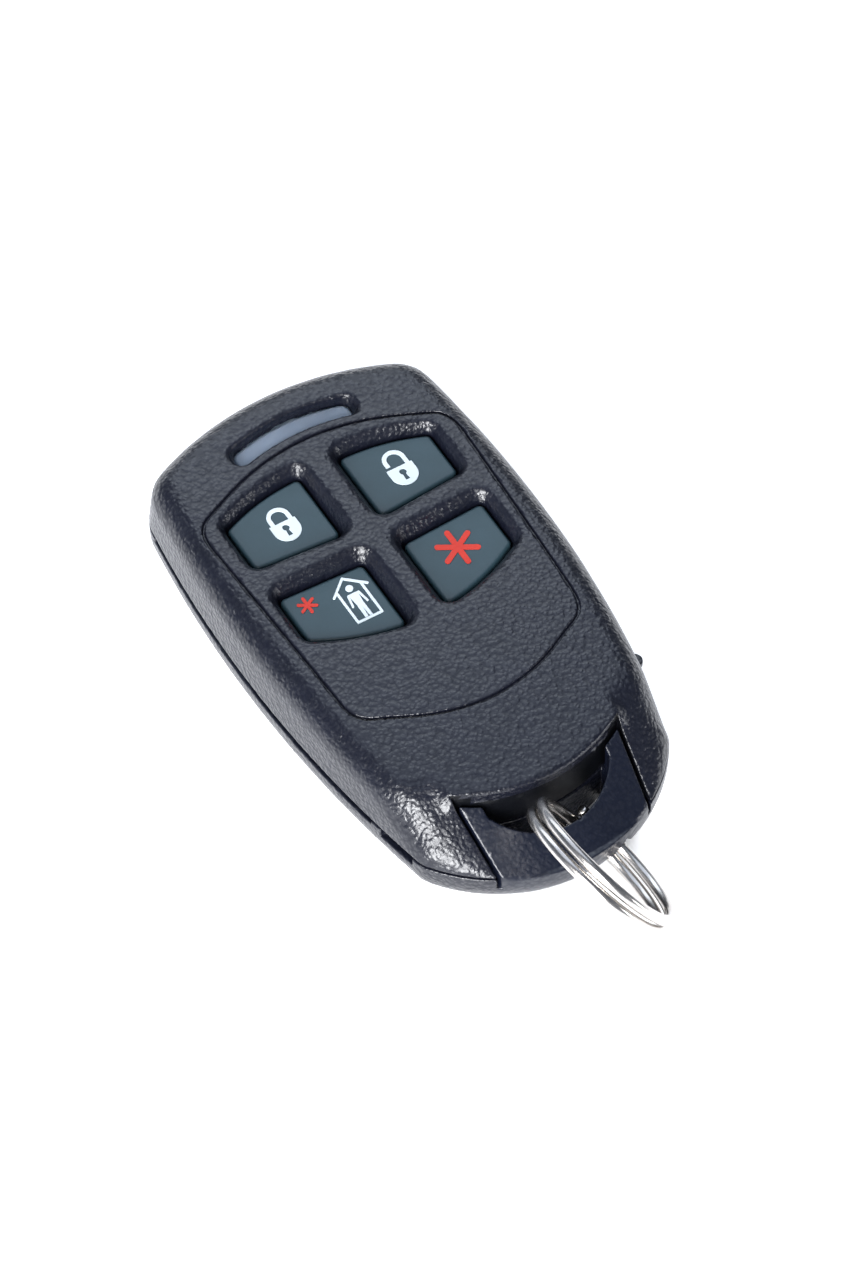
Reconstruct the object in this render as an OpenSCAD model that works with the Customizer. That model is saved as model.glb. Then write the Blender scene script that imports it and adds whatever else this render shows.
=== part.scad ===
// Four-key alarm fob: a snapped plastic case, a rubber keypad over a circuit board, a coin cell
// and a split ring on the bail at the nose.
// X runs across the fob, Y along it towards the signal lamp, Z up from the flat back face.

/* [Case outline] */
// Length of the case from nose to lamp end
body_len = 70; // [60:0.5:85]
// Greatest width of the case
body_w = 39.3; // [34:0.1:48]
// Distance of the widest place from mid length
wide_y = 7.5; // [3:0.5:12]
// Radius of the long side curves
side_r = 156; // [120:1:300]
// Depth of the lamp end curve, from its middle to the corners
lamp_end_sag = 4.54; // [3.8:0.02:6]
// Radius of the two corners at the lamp end
lamp_corner_r = 5.2; // [4:0.1:7]
// Depth of the nose curve, from its tip to the corners
nose_sag = 8.56; // [7.5:0.02:10]
// Radius of the two corners beside the nose
nose_corner_r = 3.5; // [2:0.25:5]

/* [Case heights] */
// Height of the seam between the two housings
seam_z = 5.5; // [4.8:0.1:7]
// Height of the crown of the front face
crown_z = 13.2; // [12.4:0.1:15]
// Open line between the two housings
seam_gap = 0.4; // [0.2:0.05:0.6]
// Extra depth of the seam along the long sides
side_reveal = 0.5; // [0.2:0.05:0.8]
// Extra depth of the pry slot in the seam
pry_depth = 1; // [0.6:0.1:1.4]
// Radius across the crown of the front face
crown_across_r = 300; // [150:10:600]
// Radius along the crown towards the nose
crown_nose_r = 218; // [150:2:400]
// Radius along the crown towards the lamp end
crown_lamp_r = 900; // [400:10:1400]
// Rounding of the front edge, measured inwards
edge_round = 3; // [2:0.1:3.8]
// Rounding of the front edge, measured downwards
edge_drop = 2.4; // [2:0.1:3.6]
// Rounding of the back edge
back_round = 4; // [2.5:0.1:4.6]

/* [Case walls] */
// Side wall of both housings
wall = 1.7; // [1.4:0.1:2]
// Floor of the back housing
floor_t = 1.6; // [1.2:0.1:1.9]
// Roof of the front housing outside the key deck
roof_t = 1.7; // [1.3:0.1:2]
// Thickness of the locating lip on the back housing
lip_t = 1; // [0.8:0.1:1.2]
// Height of the locating lip above the seam
lip_h = 1.7; // [1.2:0.1:2.2]

/* [Nose and bail] */
// Height of the nose slope where it leaves the front face
nose_break_z = 11.6; // [11:0.1:12]
// Distance of the nose slope from the nose tip
nose_slope_len = 10.9; // [9:0.1:12]
// Fall of the nose slope for each unit of length
nose_fall = 0.62; // [0.5:0.01:0.7]
// Radius across the nose slope
nose_across_r = 60; // [50:1:200]
// Radius of the brow above the ring bay
brow_r = 20; // [16:0.5:26]
// Distance of the brow from the nose tip
brow_len = 8.05; // [7:0.05:9]
// Half width of the ring bay at the brow
bay_half_w = 10.6; // [9.6:0.1:11.4]
// Narrowing of each bay side for each unit of length
bay_taper = 0.1; // [0:0.01:0.15]
// Gap between the bail and the front housing
bail_gap = 0.4; // [0.3:0.05:0.6]
// Half width of the eye inside the bail
eye_half_w = 7.75; // [6.5:0.05:8]
// Radius of the round end of the eye
eye_r = 9.25; // [8.5:0.05:11]
// Width of the bail bar at the nose tip
bail_bar_w = 4; // [3.4:0.1:4.4]
// Upright thickness of the bail bar
bail_bar_t = 2.6; // [1.8:0.1:2.8]

/* [Keys] */
// Space between the two columns of keys
key_column_gap = 5.2; // [4.4:0.1:6]
// Distance of the keys from the sides of the case
key_margin = 6.55; // [6.2:0.05:8]
// Inner lower corner of the upper keys
upper_low_y = 12.7; // [12:0.1:13.5]
// Inner upper corner of the upper keys
upper_high_y = 22.2; // [20.5:0.1:22.8]
// Fall of the upper keys towards the side
upper_fall = 2.3; // [1:0.1:3]
// Rise of the lower edge of the upper keys towards the side
upper_rise = 0.8; // [0:0.1:1.5]
// Inner upper corner of the lower keys
lower_high_y = 8.1; // [7.4:0.1:8.6]
// Rise of the upper edge of the lower keys towards the side
lower_high_rise = 0.5; // [0:0.1:1]
// Inner lower corner of the lower keys
lower_low_y = -1.7; // [-2.6:0.1:0]
// Rise of the lower edge of the lower keys towards the side
lower_low_rise = 3.7; // [2:0.1:4]
// Swell of the long curved key edges
key_swell = 0.45; // [0.2:0.05:0.6]
// Corner radius of a key
key_corner_r = 0.7; // [0.4:0.1:1]
// Height of the key tops
key_top_z = 11.4; // [11.1:0.1:11.8]
// Edge chamfer of a key
key_chamfer = 0.35; // [0.2:0.05:0.5]
// Travel of a key
key_travel = 0.75; // [0.5:0.05:0.85]
// Gap between a key and its window
key_gap = 0.3; // [0.2:0.05:0.4]
// Width of the sloped wall round a key
pocket_slope_w = 1.25; // [0.9:0.05:1.4]
// Thickness of the printed marks
mark_t = 0.1; // [0.06:0.02:0.16]

/* [Front face lines] */
// Width of the line round the key panel
groove_w = 0.36; // [0.24:0.02:0.5]
// Depth of the line round the key panel
groove_d = 0.35; // [0.2:0.05:0.5]
// Distance of the panel's upper corners from the greatest width
panel_high_margin = 3.25; // [3:0.05:4.2]
// Distance of the panel's lower corners from the greatest width
panel_low_margin = 4.95; // [4.4:0.05:5.6]
// Upper corners of the panel
panel_high_y = 22; // [21:0.1:23]
// Lower corners of the panel
panel_low_y = -11.6; // [-13:0.1:-10]
// Swell of the upper edge of the panel
panel_high_swell = 3.5; // [2.5:0.1:3.8]
// Swell of the lower edge of the panel
panel_low_swell = 3.8; // [2.5:0.1:4.5]
// Corner radius of the panel
panel_corner_r = 2.6; // [1.5:0.1:3.5]

/* [Signal lamp] */
// Distance of the lamp window's ends from the greatest width
lamp_margin = 11.45; // [10.8:0.05:13]
// Upper edge of the lamp window in the middle
lamp_high_y = 29.8; // [29:0.1:30]
// Height of the lamp window
lamp_h = 3; // [2.2:0.1:3.2]
// Curve of the lamp window from its middle to its ends
lamp_sag = 0.9; // [0.3:0.1:1.4]
// Corner radius of the lamp window
lamp_corner = 0.9; // [0.4:0.1:1]
// Depth of the lens below the front face
lens_recess = 1.5; // [0.9:0.1:1.7]

/* [Board and power] */
// Thickness of the circuit board
board_t = 1; // [0.8:0.1:1.2]
// Height of the board's underside above the floor
board_lift = 3.4; // [3.2:0.1:3.6]
// Lower end of the circuit board, from the nose tip
board_end = 14.6; // [14.5:0.1:15.5]
// Diameter of the coin cell
cell_d = 20; // [16:0.1:20]
// Thickness of the coin cell
cell_t = 2.5; // [1.6:0.1:2.5]
// Distance of the cell from mid length
cell_y = 9; // [4:0.5:12]
// Sheet thickness of the cell clip
clip_t = 0.3; // [0.2:0.05:0.35]
// Sheet thickness of the cell's inner contact
contact_t = 0.2; // [0.15:0.05:0.25]
// Thickness of the rubber keypad base
mat_t = 1; // [0.8:0.1:1.2]
// Thickness of the plated contacts and the antenna track
track_t = 0.1; // [0.05:0.05:0.15]

/* [Split ring] */
// Outer diameter of the ring
ring_d = 20; // [19.4:0.1:21]
// Wire diameter
wire_d = 1.36; // [1.2:0.02:1.4]
// Distance between the two turns of wire
ring_pitch = 1.5; // [1.48:0.01:1.7]
// Lean of the ring towards the left side
ring_lean = 34; // [26:1:38]
// Turn of the ring from straight across the nose
ring_yaw = 4; // [-6:1:6]
// Distance of the ring's middle beyond the nose tip
ring_beyond = 3.3; // [3.2:0.1:4]
// Offset of the ring's middle to the right
ring_shift = -0.3; // [-2:0.1:1]

/* [Hidden] */

// Colours
case_colour = [0.2, 0.21, 0.25];
key_colour = [0.22, 0.28, 0.31];
lens_colour = [0.5, 0.57, 0.67];
rubber_colour = [0.16, 0.19, 0.21];
carbon_colour = [0.08, 0.08, 0.08];
white_print = [0.92, 0.93, 0.96];
red_print = [0.85, 0.27, 0.2];
board_colour = [0.1, 0.34, 0.2];
gold_colour = [0.83, 0.68, 0.36];
chip_colour = [0.1, 0.1, 0.11];
steel_colour = [0.78, 0.78, 0.78];

// Fineness of the curves
$fn = 48;
arc_steps = 7;
side_steps = 10;
edge_steps = 6;
back_steps = 5;
swell_steps = 8;
corner_steps = 4;
block_cells = 10;
cap_steps = [0.1, 0.2, 0.3, 0.38, 0.46, 0.54, 0.64, 0.82, 1];

// Working clearances
slip = 0.12;
overlap = 0.5;
sliver = 0.02;
pill_clear = 0.05;

// Levels of the stack, from the back face up
front_edge_z = seam_z + seam_gap / 2;
back_edge_z = seam_z - seam_gap / 2;
board_low_z = floor_t + board_lift;
board_top_z = board_low_z + board_t;
mat_top_z = board_top_z + mat_t;
track_top_z = board_top_z + track_t;
pill_t = 0.6;
pill_low_z = track_top_z + key_travel + pill_clear;
pill_top_z = pill_low_z + pill_t;
web_folded_h = 0.65;
web_h = key_travel + web_folded_h;
key_low_z = mat_top_z + web_h;
deck_t = 1.5;
deck_low_z = key_top_z - deck_t;

// Outline of the case
half_w = body_w / 2;
half_len = body_len / 2;
drawn_len = 70;
stretch = body_len / drawn_len;
nose_y = -half_len;
side_c = [half_w - side_r, wide_y];
lamp_end_r = arc_radius(side_x(half_len - lamp_end_sag), lamp_end_sag);
nose_r = arc_radius(side_x(nose_y + nose_sag), nose_sag);
lamp_c = [0, half_len - lamp_end_r];
nose_c = [0, nose_y + nose_r];
lamp_corner_c = nested_centre(side_c, side_r, lamp_c, lamp_end_r, lamp_corner_r);
nose_corner_c = nested_centre(nose_c, nose_r, side_c, side_r, nose_corner_r);
right_half = concat(
    arc_points(nose_c, nose_r, -90, bearing(nose_c, nose_corner_c), arc_steps),
    arc_points(nose_corner_c, nose_corner_r, bearing(nose_c, nose_corner_c),
        bearing(side_c, nose_corner_c), arc_steps),
    arc_points(side_c, side_r, bearing(side_c, nose_corner_c),
        bearing(side_c, lamp_corner_c), side_steps),
    arc_points(lamp_corner_c, lamp_corner_r, bearing(side_c, lamp_corner_c),
        bearing(lamp_c, lamp_corner_c), arc_steps),
    arc_points(lamp_c, lamp_end_r, bearing(lamp_c, lamp_corner_c), 90, arc_steps),
    [[0, half_len]]
);
left_half = [for (i = [len(right_half) - 2 : -1 : 1]) [-right_half[i].x, right_half[i].y]];
outline = concat(right_half, left_half);

// The middle line that every inset runs towards
spine_low = -10;
spine_high = 14;
spine_half = 1.6;
wall_draft = 0.45;

// Nose slope, brow and ring bay
nose_break_y = nose_y + nose_slope_len;
nose_blend = 1;
least_rim = 0.4;
edge_share = 0.8;
brow_c = [0, nose_y + brow_len + brow_r];
bay_top_y = brow_c.y - sqrt(brow_r ^ 2 - bay_half_w ^ 2);
eye_c = [0, nose_y + bail_bar_w + eye_r];

// Keys, as corner points of the right-hand keys
key_in_x = key_column_gap / 2;
key_out_x = half_w - key_margin;
key_w = key_out_x - key_in_x;
upper_low = stretch * upper_low_y;
upper_high = stretch * upper_high_y;
lower_high = stretch * lower_high_y;
lower_low = stretch * lower_low_y;
upper_key = [
    [key_in_x, upper_low], [key_out_x, upper_low + upper_rise],
    [key_out_x, upper_high - upper_fall], [key_in_x, upper_high]
];
lower_key = [
    [key_in_x, lower_low], [key_out_x, lower_low + lower_low_rise],
    [key_out_x, lower_high + lower_high_rise], [key_in_x, lower_high]
];
upper_swell = [0, 0, key_swell, 0];
lower_swell = [key_swell, 0, 0, 0];
key_mid_x = key_in_x + key_w / 2;
upper_mid_y = (upper_low + upper_rise / 2 + upper_high - upper_fall / 2) / 2;
lower_mid_y = (lower_low + lower_low_rise / 2 + lower_high + lower_high_rise / 2) / 2;
key_row_y = (upper_low + lower_high + lower_high_rise) / 2;
web_foot = 1.2;
web_t = 0.3;
web_over = 0.1;
post_r = 2.5;
pill_r = 2.3;
pad_r = 2.6;
pad_split = 0.5;
pocket_levels = [
    [deck_low_z - overlap, key_gap], [key_top_z, key_gap],
    [key_top_z + 0.25, key_gap + 0.12],
    [crown_z - 0.55, pocket_slope_w - 0.2],
    [crown_z - 0.1, pocket_slope_w + 0.35],
    [crown_z + 0.6, pocket_slope_w + 2]
];

// Printed marks, placed from the middle of their keys
drawn_key_w = 10.5;
mark_scale = key_w / drawn_key_w;
lock_mark_off = [0.55, -2.2];
unlock_mark_off = [0, -2.2];
star_off = [-0.25, 0.35];
star_r = 2.58;
star_w = 0.66;
house_off = [2.25, -3.1];
small_star_off = [-2.85, 2.05];
small_star_r = 1.2;
small_star_w = 0.36;

// Keypad base and the frame of ribs that holds it down
mat_margin = 0.8;
mat_half_w = key_out_x + web_foot + mat_margin;
mat_low_y = lower_low - key_swell - web_foot - mat_margin;
mat_high_y = upper_high + key_swell + web_foot + mat_margin;
mat_corner_r = 2;
rib_t = 1;

// Key panel line
panel_low_half_w = half_w - panel_low_margin;
panel_high_half_w = half_w - panel_high_margin;
panel_low = stretch * panel_low_y;
panel_high = stretch * panel_high_y;
panel = [
    [-panel_low_half_w, panel_low], [panel_low_half_w, panel_low],
    [panel_high_half_w, panel_high], [-panel_high_half_w, panel_high]
];
panel_swell = [panel_low_swell, 0, panel_high_swell, 0];

// Signal lamp
lamp_half_w = half_w - lamp_margin;
lamp_high = stretch * lamp_high_y;
lamp_mid_y = lamp_high - lamp_h / 2;
lamp_shape = [
    [-lamp_half_w, lamp_high - lamp_h - lamp_sag], [lamp_half_w, lamp_high - lamp_h - lamp_sag],
    [lamp_half_w, lamp_high - lamp_sag], [-lamp_half_w, lamp_high - lamp_sag]
];
lamp_swell = [-lamp_sag, 0, lamp_sag, 0];
lens_top_z = crown(0, lamp_mid_y) - lens_recess;
lens_flange = 0.5;
lens_flange_top_z = crown(lamp_half_w, lamp_mid_y) - roof_t - slip;
lens_flange_t = 1;
light_pipe_r = 1.4;
led_size = [3.2, 1.6, 1.1];

// Circuit board, its four seats and the parts on it
lip_clear = 0.35;
lip_inset = wall + lip_clear;
board_clear = 0.25;
board_inset = lip_inset + lip_t + board_clear;
board_end_y = nose_y + board_end;
seat_edge = 4.1;
seat_rows = [board_end_y + 3.9, stretch * 27];
seats = [for (side = [-1, 1], y = seat_rows) [side * (side_x(y) - board_inset - seat_edge), y]];
seat_r = 1.6;
pin_r = 0.8;
track_w = 1.1;
track_inset = 0.9;
antenna_high_y = mat_low_y - 1;
chip_size = [8.6, 3.9, 1.5];
chip_at = [-4.6, board_end_y + 9.4];
chip_lift = 0.1;
chip_leg = [0.4, 1.1, 0.25];
chip_leg_pitch = 1.2;
chip_leg_out = 0.35;
resonator_size = [5, 3.8, 1.4];
resonator_at = [6.2, board_end_y + 9.8];
resonator_rim = 0.3;
resonator_foot = 0.5;
passive_size = [1.6, 0.8, 0.6];
passive_columns = 6;
passive_span = seats[2].x - seat_r - 1.1;
passive_at = [-passive_span, board_end_y + 3.2];
passive_step = [2 * passive_span / (passive_columns - 1), 1.9];
cell_top_z = board_low_z - contact_t;
cell_low_z = cell_top_z - cell_t;
cell_rim = 1.2;
cell_step = 0.35;
clip_w = 6;
clip_foot = 2;
clip_clear = 0.6;

// Pry slot and nib in the seam, and the slits beside the bail
pry_y_high = -20;
pry_tab = 1.6;
nib_y = -14.9;
nib_r = 0.95;
nib_out = 0.6;
nib_h = 0.8;
slit_depth = 1.3;
slit_len = 6;

// Snap beads on the locating lip
bead_len = 6;
bead_proud = 0.3;
bead_h = 0.7;
bead_z = seam_z + 1;
bead_rows = [-8, 14];

// Split ring
wire_r = wire_d / 2;
ring_r = ring_d / 2 - wire_r;
ring_rings = 24;
ring_sides = 6;
ring_turns = 2;
jog_sharpness = 0.85;
ring_end_angle = 335;
ring_low = 0.15;
ring_clear = 0.35;
relief_half = ring_pitch + wire_r + ring_clear;
bail_least_t = 1;
bail_under = 3;
under_bar_x = -1.2;
ring_stations = [for (i = [0 : ring_turns * ring_rings]) i / ring_rings];
ring_drop = min([for (turn = ring_stations) leaned(ring_flat(turn)).z]);
ring_centre = [ring_shift, nose_y - ring_beyond, ring_low + wire_r - ring_drop];
ring_line = [for (turn = ring_stations) ring_point(turn)];
ring_least_gap = min([
    for (i = [0 : len(ring_line) - 1], j = [i + ring_rings / 2 : 1 : len(ring_line) - 1])
        norm(ring_line[i] - ring_line[j])
]) - wire_d;
echo("least gap of the split ring to itself", ring_least_gap);

// Small helpers
function lerp(a, b, t) = a + (b - a) * t;
function arc_radius(half_chord, sag) = (half_chord ^ 2 + sag ^ 2) / (2 * sag);
function clamp(v, low, high) = min(max(v, low), high);
function bearing(from, to) = atan2(to.y - from.y, to.x - from.x);
function soft_min(a, b, k) = let (h = max(k - abs(a - b), 0) / k) min(a, b) - h * h * k / 4;
function arc_points(c, r, from, to, n) =
    [for (i = [0 : n - 1]) let (a = lerp(from, to, i / n)) c + r * [cos(a), sin(a)]];

// Centre of a small circle that touches two large ones from the inside
function nested_centre(c1, r1, c2, r2, r) =
    let (
        d = norm(c2 - c1),
        u = (c2 - c1) / d,
        along = ((r1 - r) ^ 2 - (r2 - r) ^ 2 + d ^ 2) / (2 * d)
    )
    c1 + along * u + sqrt((r1 - r) ^ 2 - along ^ 2) * [-u.y, u.x];

// Points of a closed shape with rounded corners and swelling edges, grown outwards
function edge_out(corners, k) =
    let (p = corners[k % 4], q = corners[(k + 1) % 4]) [q.y - p.y, p.x - q.x] / norm(q - p);
function corner_arc(corners, k, r, grow) =
    let (
        before = edge_out(corners, k + 3),
        after = edge_out(corners, k),
        c = corners[k % 4] - r * (before + after) / (1 + before * after),
        start = atan2(before.y, before.x),
        turn = (atan2(after.y, after.x) - start + 360) % 360
    )
    [for (i = [0 : corner_steps])
        let (a = start + turn * i / corner_steps) c + (r + grow) * [cos(a), sin(a)]];
function swell_points(p, q, out, swell) =
    [for (i = [1 : 1 : swell == 0 ? 0 : swell_steps - 1])
        let (t = i / swell_steps) lerp(p, q, t) + 4 * swell * t * (1 - t) * out];
function rounded_points(corners, swells, r, grow) = [
    for (k = [0 : 3])
        let (arc = corner_arc(corners, k, r, grow), next = corner_arc(corners, k + 1, r, grow))
        for (p = concat(arc, swell_points(arc[corner_steps], next[0], edge_out(corners, k), swells[k]))) p
];
function key_points(upper, grow) =
    rounded_points(upper ? upper_key : lower_key, upper ? upper_swell : lower_swell, key_corner_r, grow);
function levelled(points, z) = [for (p = points) [p.x, p.y, z]];

// Insets of the case outline
function spine_point(p) = [0, clamp(p.y, spine_low, spine_high)];
function reach(p) = norm(spine_point(p) - p);
function inset_point(p, d) = p + d * (spine_point(p) - p) / reach(p);
function inset_outline(d) = [for (p = outline) inset_point(p, d)];
function side_x(y) = side_c.x + sqrt(side_r ^ 2 - (y - wide_y) ^ 2);

// Height of the front face: its crown, and the slope that the crown runs into at the nose
function crown(x, y) =
    crown_z - x ^ 2 / (2 * crown_across_r) - y ^ 2 / (2 * (y < 0 ? crown_nose_r : crown_lamp_r));
function nose_z(x, y) =
    nose_break_z + nose_fall * (y - nose_break_y) - x ^ 2 / (2 * nose_across_r);
function face_z(x, y) =
    max(soft_min(crown(x, y), nose_z(x, y), nose_blend), front_edge_z + least_rim);

// Rings of points of the front form: an upright wall, a rounded edge and the face up to the spine
function edge_room(p) = edge_share * (face_z(p.x, p.y) - front_edge_z);
function edge_in(p, inset) = max(min(edge_round, edge_room(p)) - inset / 2, least_rim / 2);
function edge_down(p) = min(edge_drop, edge_room(p));
function front_point(p, in, down, low) =
    let (q = inset_point(p, in)) [q.x, q.y, max(face_z(q.x, q.y) - down, low)];
function front_rings(inset, down, low) = concat(
    [[for (p = inset_outline(inset)) [p.x, p.y, low]]],
    [for (j = [0 : edge_steps])
        [for (p = outline)
            front_point(p, inset + wall_draft + edge_in(p, inset) * (1 - cos(90 * j / edge_steps)),
                down + edge_down(p) * (1 - sin(90 * j / edge_steps)),
                low + sliver * (j + 1))]],
    [for (k = [0 : len(cap_steps) - 1])
        [for (p = outline)
            front_point(p,
                lerp(inset + wall_draft + edge_in(p, inset), reach(p) - spine_half, cap_steps[k]),
                down, low + sliver * (edge_steps + 2 + k))]]
);

// Rings of points of the back form: a rounded lower edge and an upright wall
function back_rings(inset, low, high, round) = concat(
    [for (j = [0 : back_steps])
        let (a = 90 * j / back_steps)
        [for (p = inset_outline(inset + round * (1 - sin(a)))) [p.x, p.y, low + round * (1 - cos(a))]]],
    [[for (p = inset_outline(inset)) [p.x, p.y, high]]]
);

// Place on the ring's wire after a number of turns, in the ring's own axes and then in the part's
function ring_axial(turn) =
    let (u = turn - ring_turns / 2) ring_pitch * (u + jog_sharpness * sin(360 * u) / (2 * PI));
function ring_flat(turn) =
    let (a = ring_end_angle + 360 * turn) [ring_axial(turn), ring_r * cos(a), ring_r * sin(a)];
function leaned(v) =
    let (x = v.x * cos(ring_lean) - v.z * sin(ring_lean))
    [
        x * cos(ring_yaw) - v.y * sin(ring_yaw), x * sin(ring_yaw) + v.y * cos(ring_yaw),
        v.x * sin(ring_lean) + v.z * cos(ring_lean)
    ];
function ring_point(turn) = ring_centre + leaned(ring_flat(turn));
function ring_section(turn) =
    let (
        ahead = ring_point(turn + 0.001) - ring_point(turn - 0.001),
        out = leaned([0, cos(ring_end_angle + 360 * turn), sin(ring_end_angle + 360 * turn)]),
        side = cross(ahead / norm(ahead), out)
    )
    [for (k = [0 : ring_sides - 1])
        let (a = 360 * k / ring_sides) ring_point(turn) + wire_r * (cos(a) * out + sin(a) * side)];

// A closed solid through rings of points, each with the same number of points
module skin(rings, spine_top = false) {
    n = len(rings[0]);
    last = (len(rings) - 1) * n;
    sides = [
        for (r = [0 : len(rings) - 2], i = [0 : n - 1])
            let (a = r * n + i, b = r * n + (i + 1) % n)
            for (f = [[a, a + n, b + n], [a, b + n, b]]) f
    ];
    flat_top = [[for (i = [n - 1 : -1 : 0]) last + i]];
    ridge_top = [
        for (i = [0 : n / 2 - 1])
            let (left = (n - i) % n, next = n - i - 1)
            for (f = [[i, left, next], [i, next, i + 1]])
                if (f[0] != f[1] && f[1] != f[2]) [last + f[0], last + f[1], last + f[2]]
    ];
    polyhedron(
        points = [for (r = rings) for (p = r) p],
        faces = concat([[for (i = [0 : n - 1]) i]], sides, spine_top ? ridge_top : flat_top),
        convexity = 6
    );
}

// A block whose top follows the crown of the front face, lowered by a depth
module crowned_block(corner, size, down) {
    far_x = corner.x + size.x;
    rows = [for (i = [0 : block_cells]) corner.y + size.y * i / block_cells];
    columns = [for (i = [0 : block_cells]) corner.x + size.x * i / block_cells];
    skin([
        for (y = rows)
            concat(
                [[far_x, y, front_edge_z], [corner.x, y, front_edge_z]],
                [for (x = columns) [x, y, crown(x, y) - down]]
            )
    ]);
}

module upright(low, high) {
    translate([0, 0, low])
        linear_extrude(high - low)
            children();
}

module on_left(left) {
    mirror([left ? 1 : 0, 0, 0])
        children();
}

module key_shape(upper, grow = 0) {
    polygon(key_points(upper, grow));
}

module panel_shape(grow = 0) {
    polygon(rounded_points(panel, panel_swell, panel_corner_r, grow));
}

module lamp_window(grow = 0) {
    polygon(rounded_points(lamp_shape, lamp_swell, lamp_corner, grow));
}

module brow_shape() {
    intersection() {
        translate(brow_c)
            circle(brow_r, $fn = 160);
        translate([-bay_half_w, nose_y])
            square([2 * bay_half_w, bay_top_y + 2 - nose_y]);
    }
}

// Ground plan of the ring bay, which the bail fills up to a gap
module bay_shape(gap = 0) {
    half_high = bay_half_w - gap;
    half_low = half_high - bay_taper * (bay_top_y - nose_y);
    difference() {
        polygon([
            [-half_low, nose_y - 1], [half_low, nose_y - 1],
            [half_high, bay_top_y + 1], [-half_high, bay_top_y + 1]
        ]);
        translate(brow_c)
            circle(brow_r + gap, $fn = 160);
    }
}

module eye_shape() {
    difference() {
        intersection() {
            translate([-eye_half_w, nose_y])
                square([2 * eye_half_w, bay_top_y + 1 - nose_y]);
            translate(eye_c)
                circle(eye_r, $fn = 120);
        }
        translate(brow_c)
            circle(brow_r, $fn = 160);
    }
}

module board_shape() {
    difference() {
        polygon(inset_outline(board_inset));
        translate([-half_w, nose_y])
            square([body_w, board_end_y - nose_y]);
    }
}

// Window of a key with the sloped wall above it
module pocket_cut(upper) {
    skin([for (level = pocket_levels) levelled(key_points(upper, level[1]), level[0])]);
}

module groove_cut() {
    difference() {
        upright(deck_low_z, crown_z + 1)
            difference() {
                panel_shape(groove_w / 2);
                panel_shape(-groove_w / 2);
            }
        crowned_block([-half_w, panel_low - 2 * panel_low_swell],
            [body_w, half_len + 1 - panel_low], groove_d);
    }
}

// Ground plan of the locating lip, which leaves out the nose
module lip_shape(clear) {
    difference() {
        polygon(inset_outline(lip_inset - clear));
        polygon(inset_outline(lip_inset + lip_t + clear));
        translate([-half_w, nose_y - 1])
            square([body_w, board_end_y - 2 - clear - nose_y]);
    }
}

module bead(proud, clear) {
    for (left = [false, true], y = bead_rows)
        on_left(left)
            translate([
                side_x(y) - lip_inset - lip_t / 2,
                y - bead_len / 2 - clear,
                bead_z - clear
            ])
                cube([lip_t / 2 + proud, bead_len + 2 * clear, bead_h + 2 * clear]);
}

module front_housing() {
    color(case_colour)
        difference() {
            union() {
                difference() {
                    skin(front_rings(0, 0, front_edge_z), true);
                    difference() {
                        skin(front_rings(wall, roof_t, back_edge_z - 1), true);
                        upright(0, crown_z)
                            offset(delta = wall)
                                bay_shape();
                        upright(deck_low_z, crown_z)
                            panel_shape();
                    }
                }
                intersection() {
                    crowned_block([-bay_half_w, nose_y], [2 * bay_half_w, bay_top_y + 2 - nose_y], 0);
                    upright(front_edge_z, crown_z)
                        brow_shape();
                    union() {
                        upright(crown(0, nose_break_y) - roof_t, crown_z)
                            brow_shape();
                        upright(0, crown_z)
                            difference() {
                                brow_shape();
                                translate([0, wall])
                                    brow_shape();
                            }
                    }
                }
                translate([-rib_t / 2, mat_low_y + 1, mat_top_z])
                    cube([rib_t, mat_high_y - mat_low_y - 2, deck_low_z + overlap - mat_top_z]);
                translate([-mat_half_w + 1, key_row_y - rib_t / 2, mat_top_z])
                    cube([2 * mat_half_w - 2, rib_t, deck_low_z + overlap - mat_top_z]);
                for (s = seats)
                    translate([s.x, s.y, board_top_z])
                        cylinder(h = crown(s.x, s.y) - roof_t / 2 - board_top_z, r = seat_r);
            }
            upright(0, crown_z + 1)
                bay_shape();
            for (left = [false, true], upper = [false, true])
                on_left(left)
                    pocket_cut(upper);
            upright(deck_low_z - 2, crown_z + 1)
                lamp_window();
            groove_cut();
            upright(back_edge_z, seam_z + lip_h + slip)
                lip_shape(slip);
            bead(bead_proud + slip, slip);
        }
}

module back_housing() {
    color(case_colour)
        difference() {
            union() {
                difference() {
                    skin(back_rings(0, 0, back_edge_z, back_round));
                    difference() {
                        skin(back_rings(wall, floor_t, back_edge_z + 1, back_round - wall));
                        upright(0, crown_z)
                            offset(delta = wall)
                                bay_shape();
                    }
                }
                upright(floor_t - overlap, seam_z + lip_h)
                    lip_shape(0);
                bead(bead_proud, 0);
                intersection() {
                    skin(back_rings(0, 0, crown_z, back_round));
                    upright(0, crown_z)
                        bay_shape(bail_gap);
                    nose_wedge(0);
                }
                for (s = seats)
                    translate([s.x, s.y, floor_t - overlap]) {
                        cylinder(h = board_low_z - floor_t + overlap, r = seat_r);
                        cylinder(h = board_top_z - floor_t + overlap, r = pin_r);
                    }
                pry_nib();
            }
            upright(-1, crown_z)
                eye_shape();
            under_bar_cut();
            ring_relief();
            for (left = [false, true])
                on_left(left)
                    seam_notch(pry_y_high + pry_tab, lamp_corner_c.y, side_reveal);
            on_left(true)
                seam_notch(nose_corner_c.y, pry_y_high, pry_depth);
            slit_cut();
        }
}

// Everything below the nose slope, lowered by a depth
module nose_wedge(lowered) {
    low_y = nose_y - 1;
    high_y = nose_break_y + 4;
    skin([
        for (i = [0 : block_cells])
            let (x = lerp(-half_w, half_w, i / block_cells))
            [
                [x, low_y, -1], [x, high_y, -1],
                [x, high_y, nose_z(x, high_y) - lowered], [x, low_y, nose_z(x, low_y) - lowered]
            ]
    ]);
}

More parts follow.
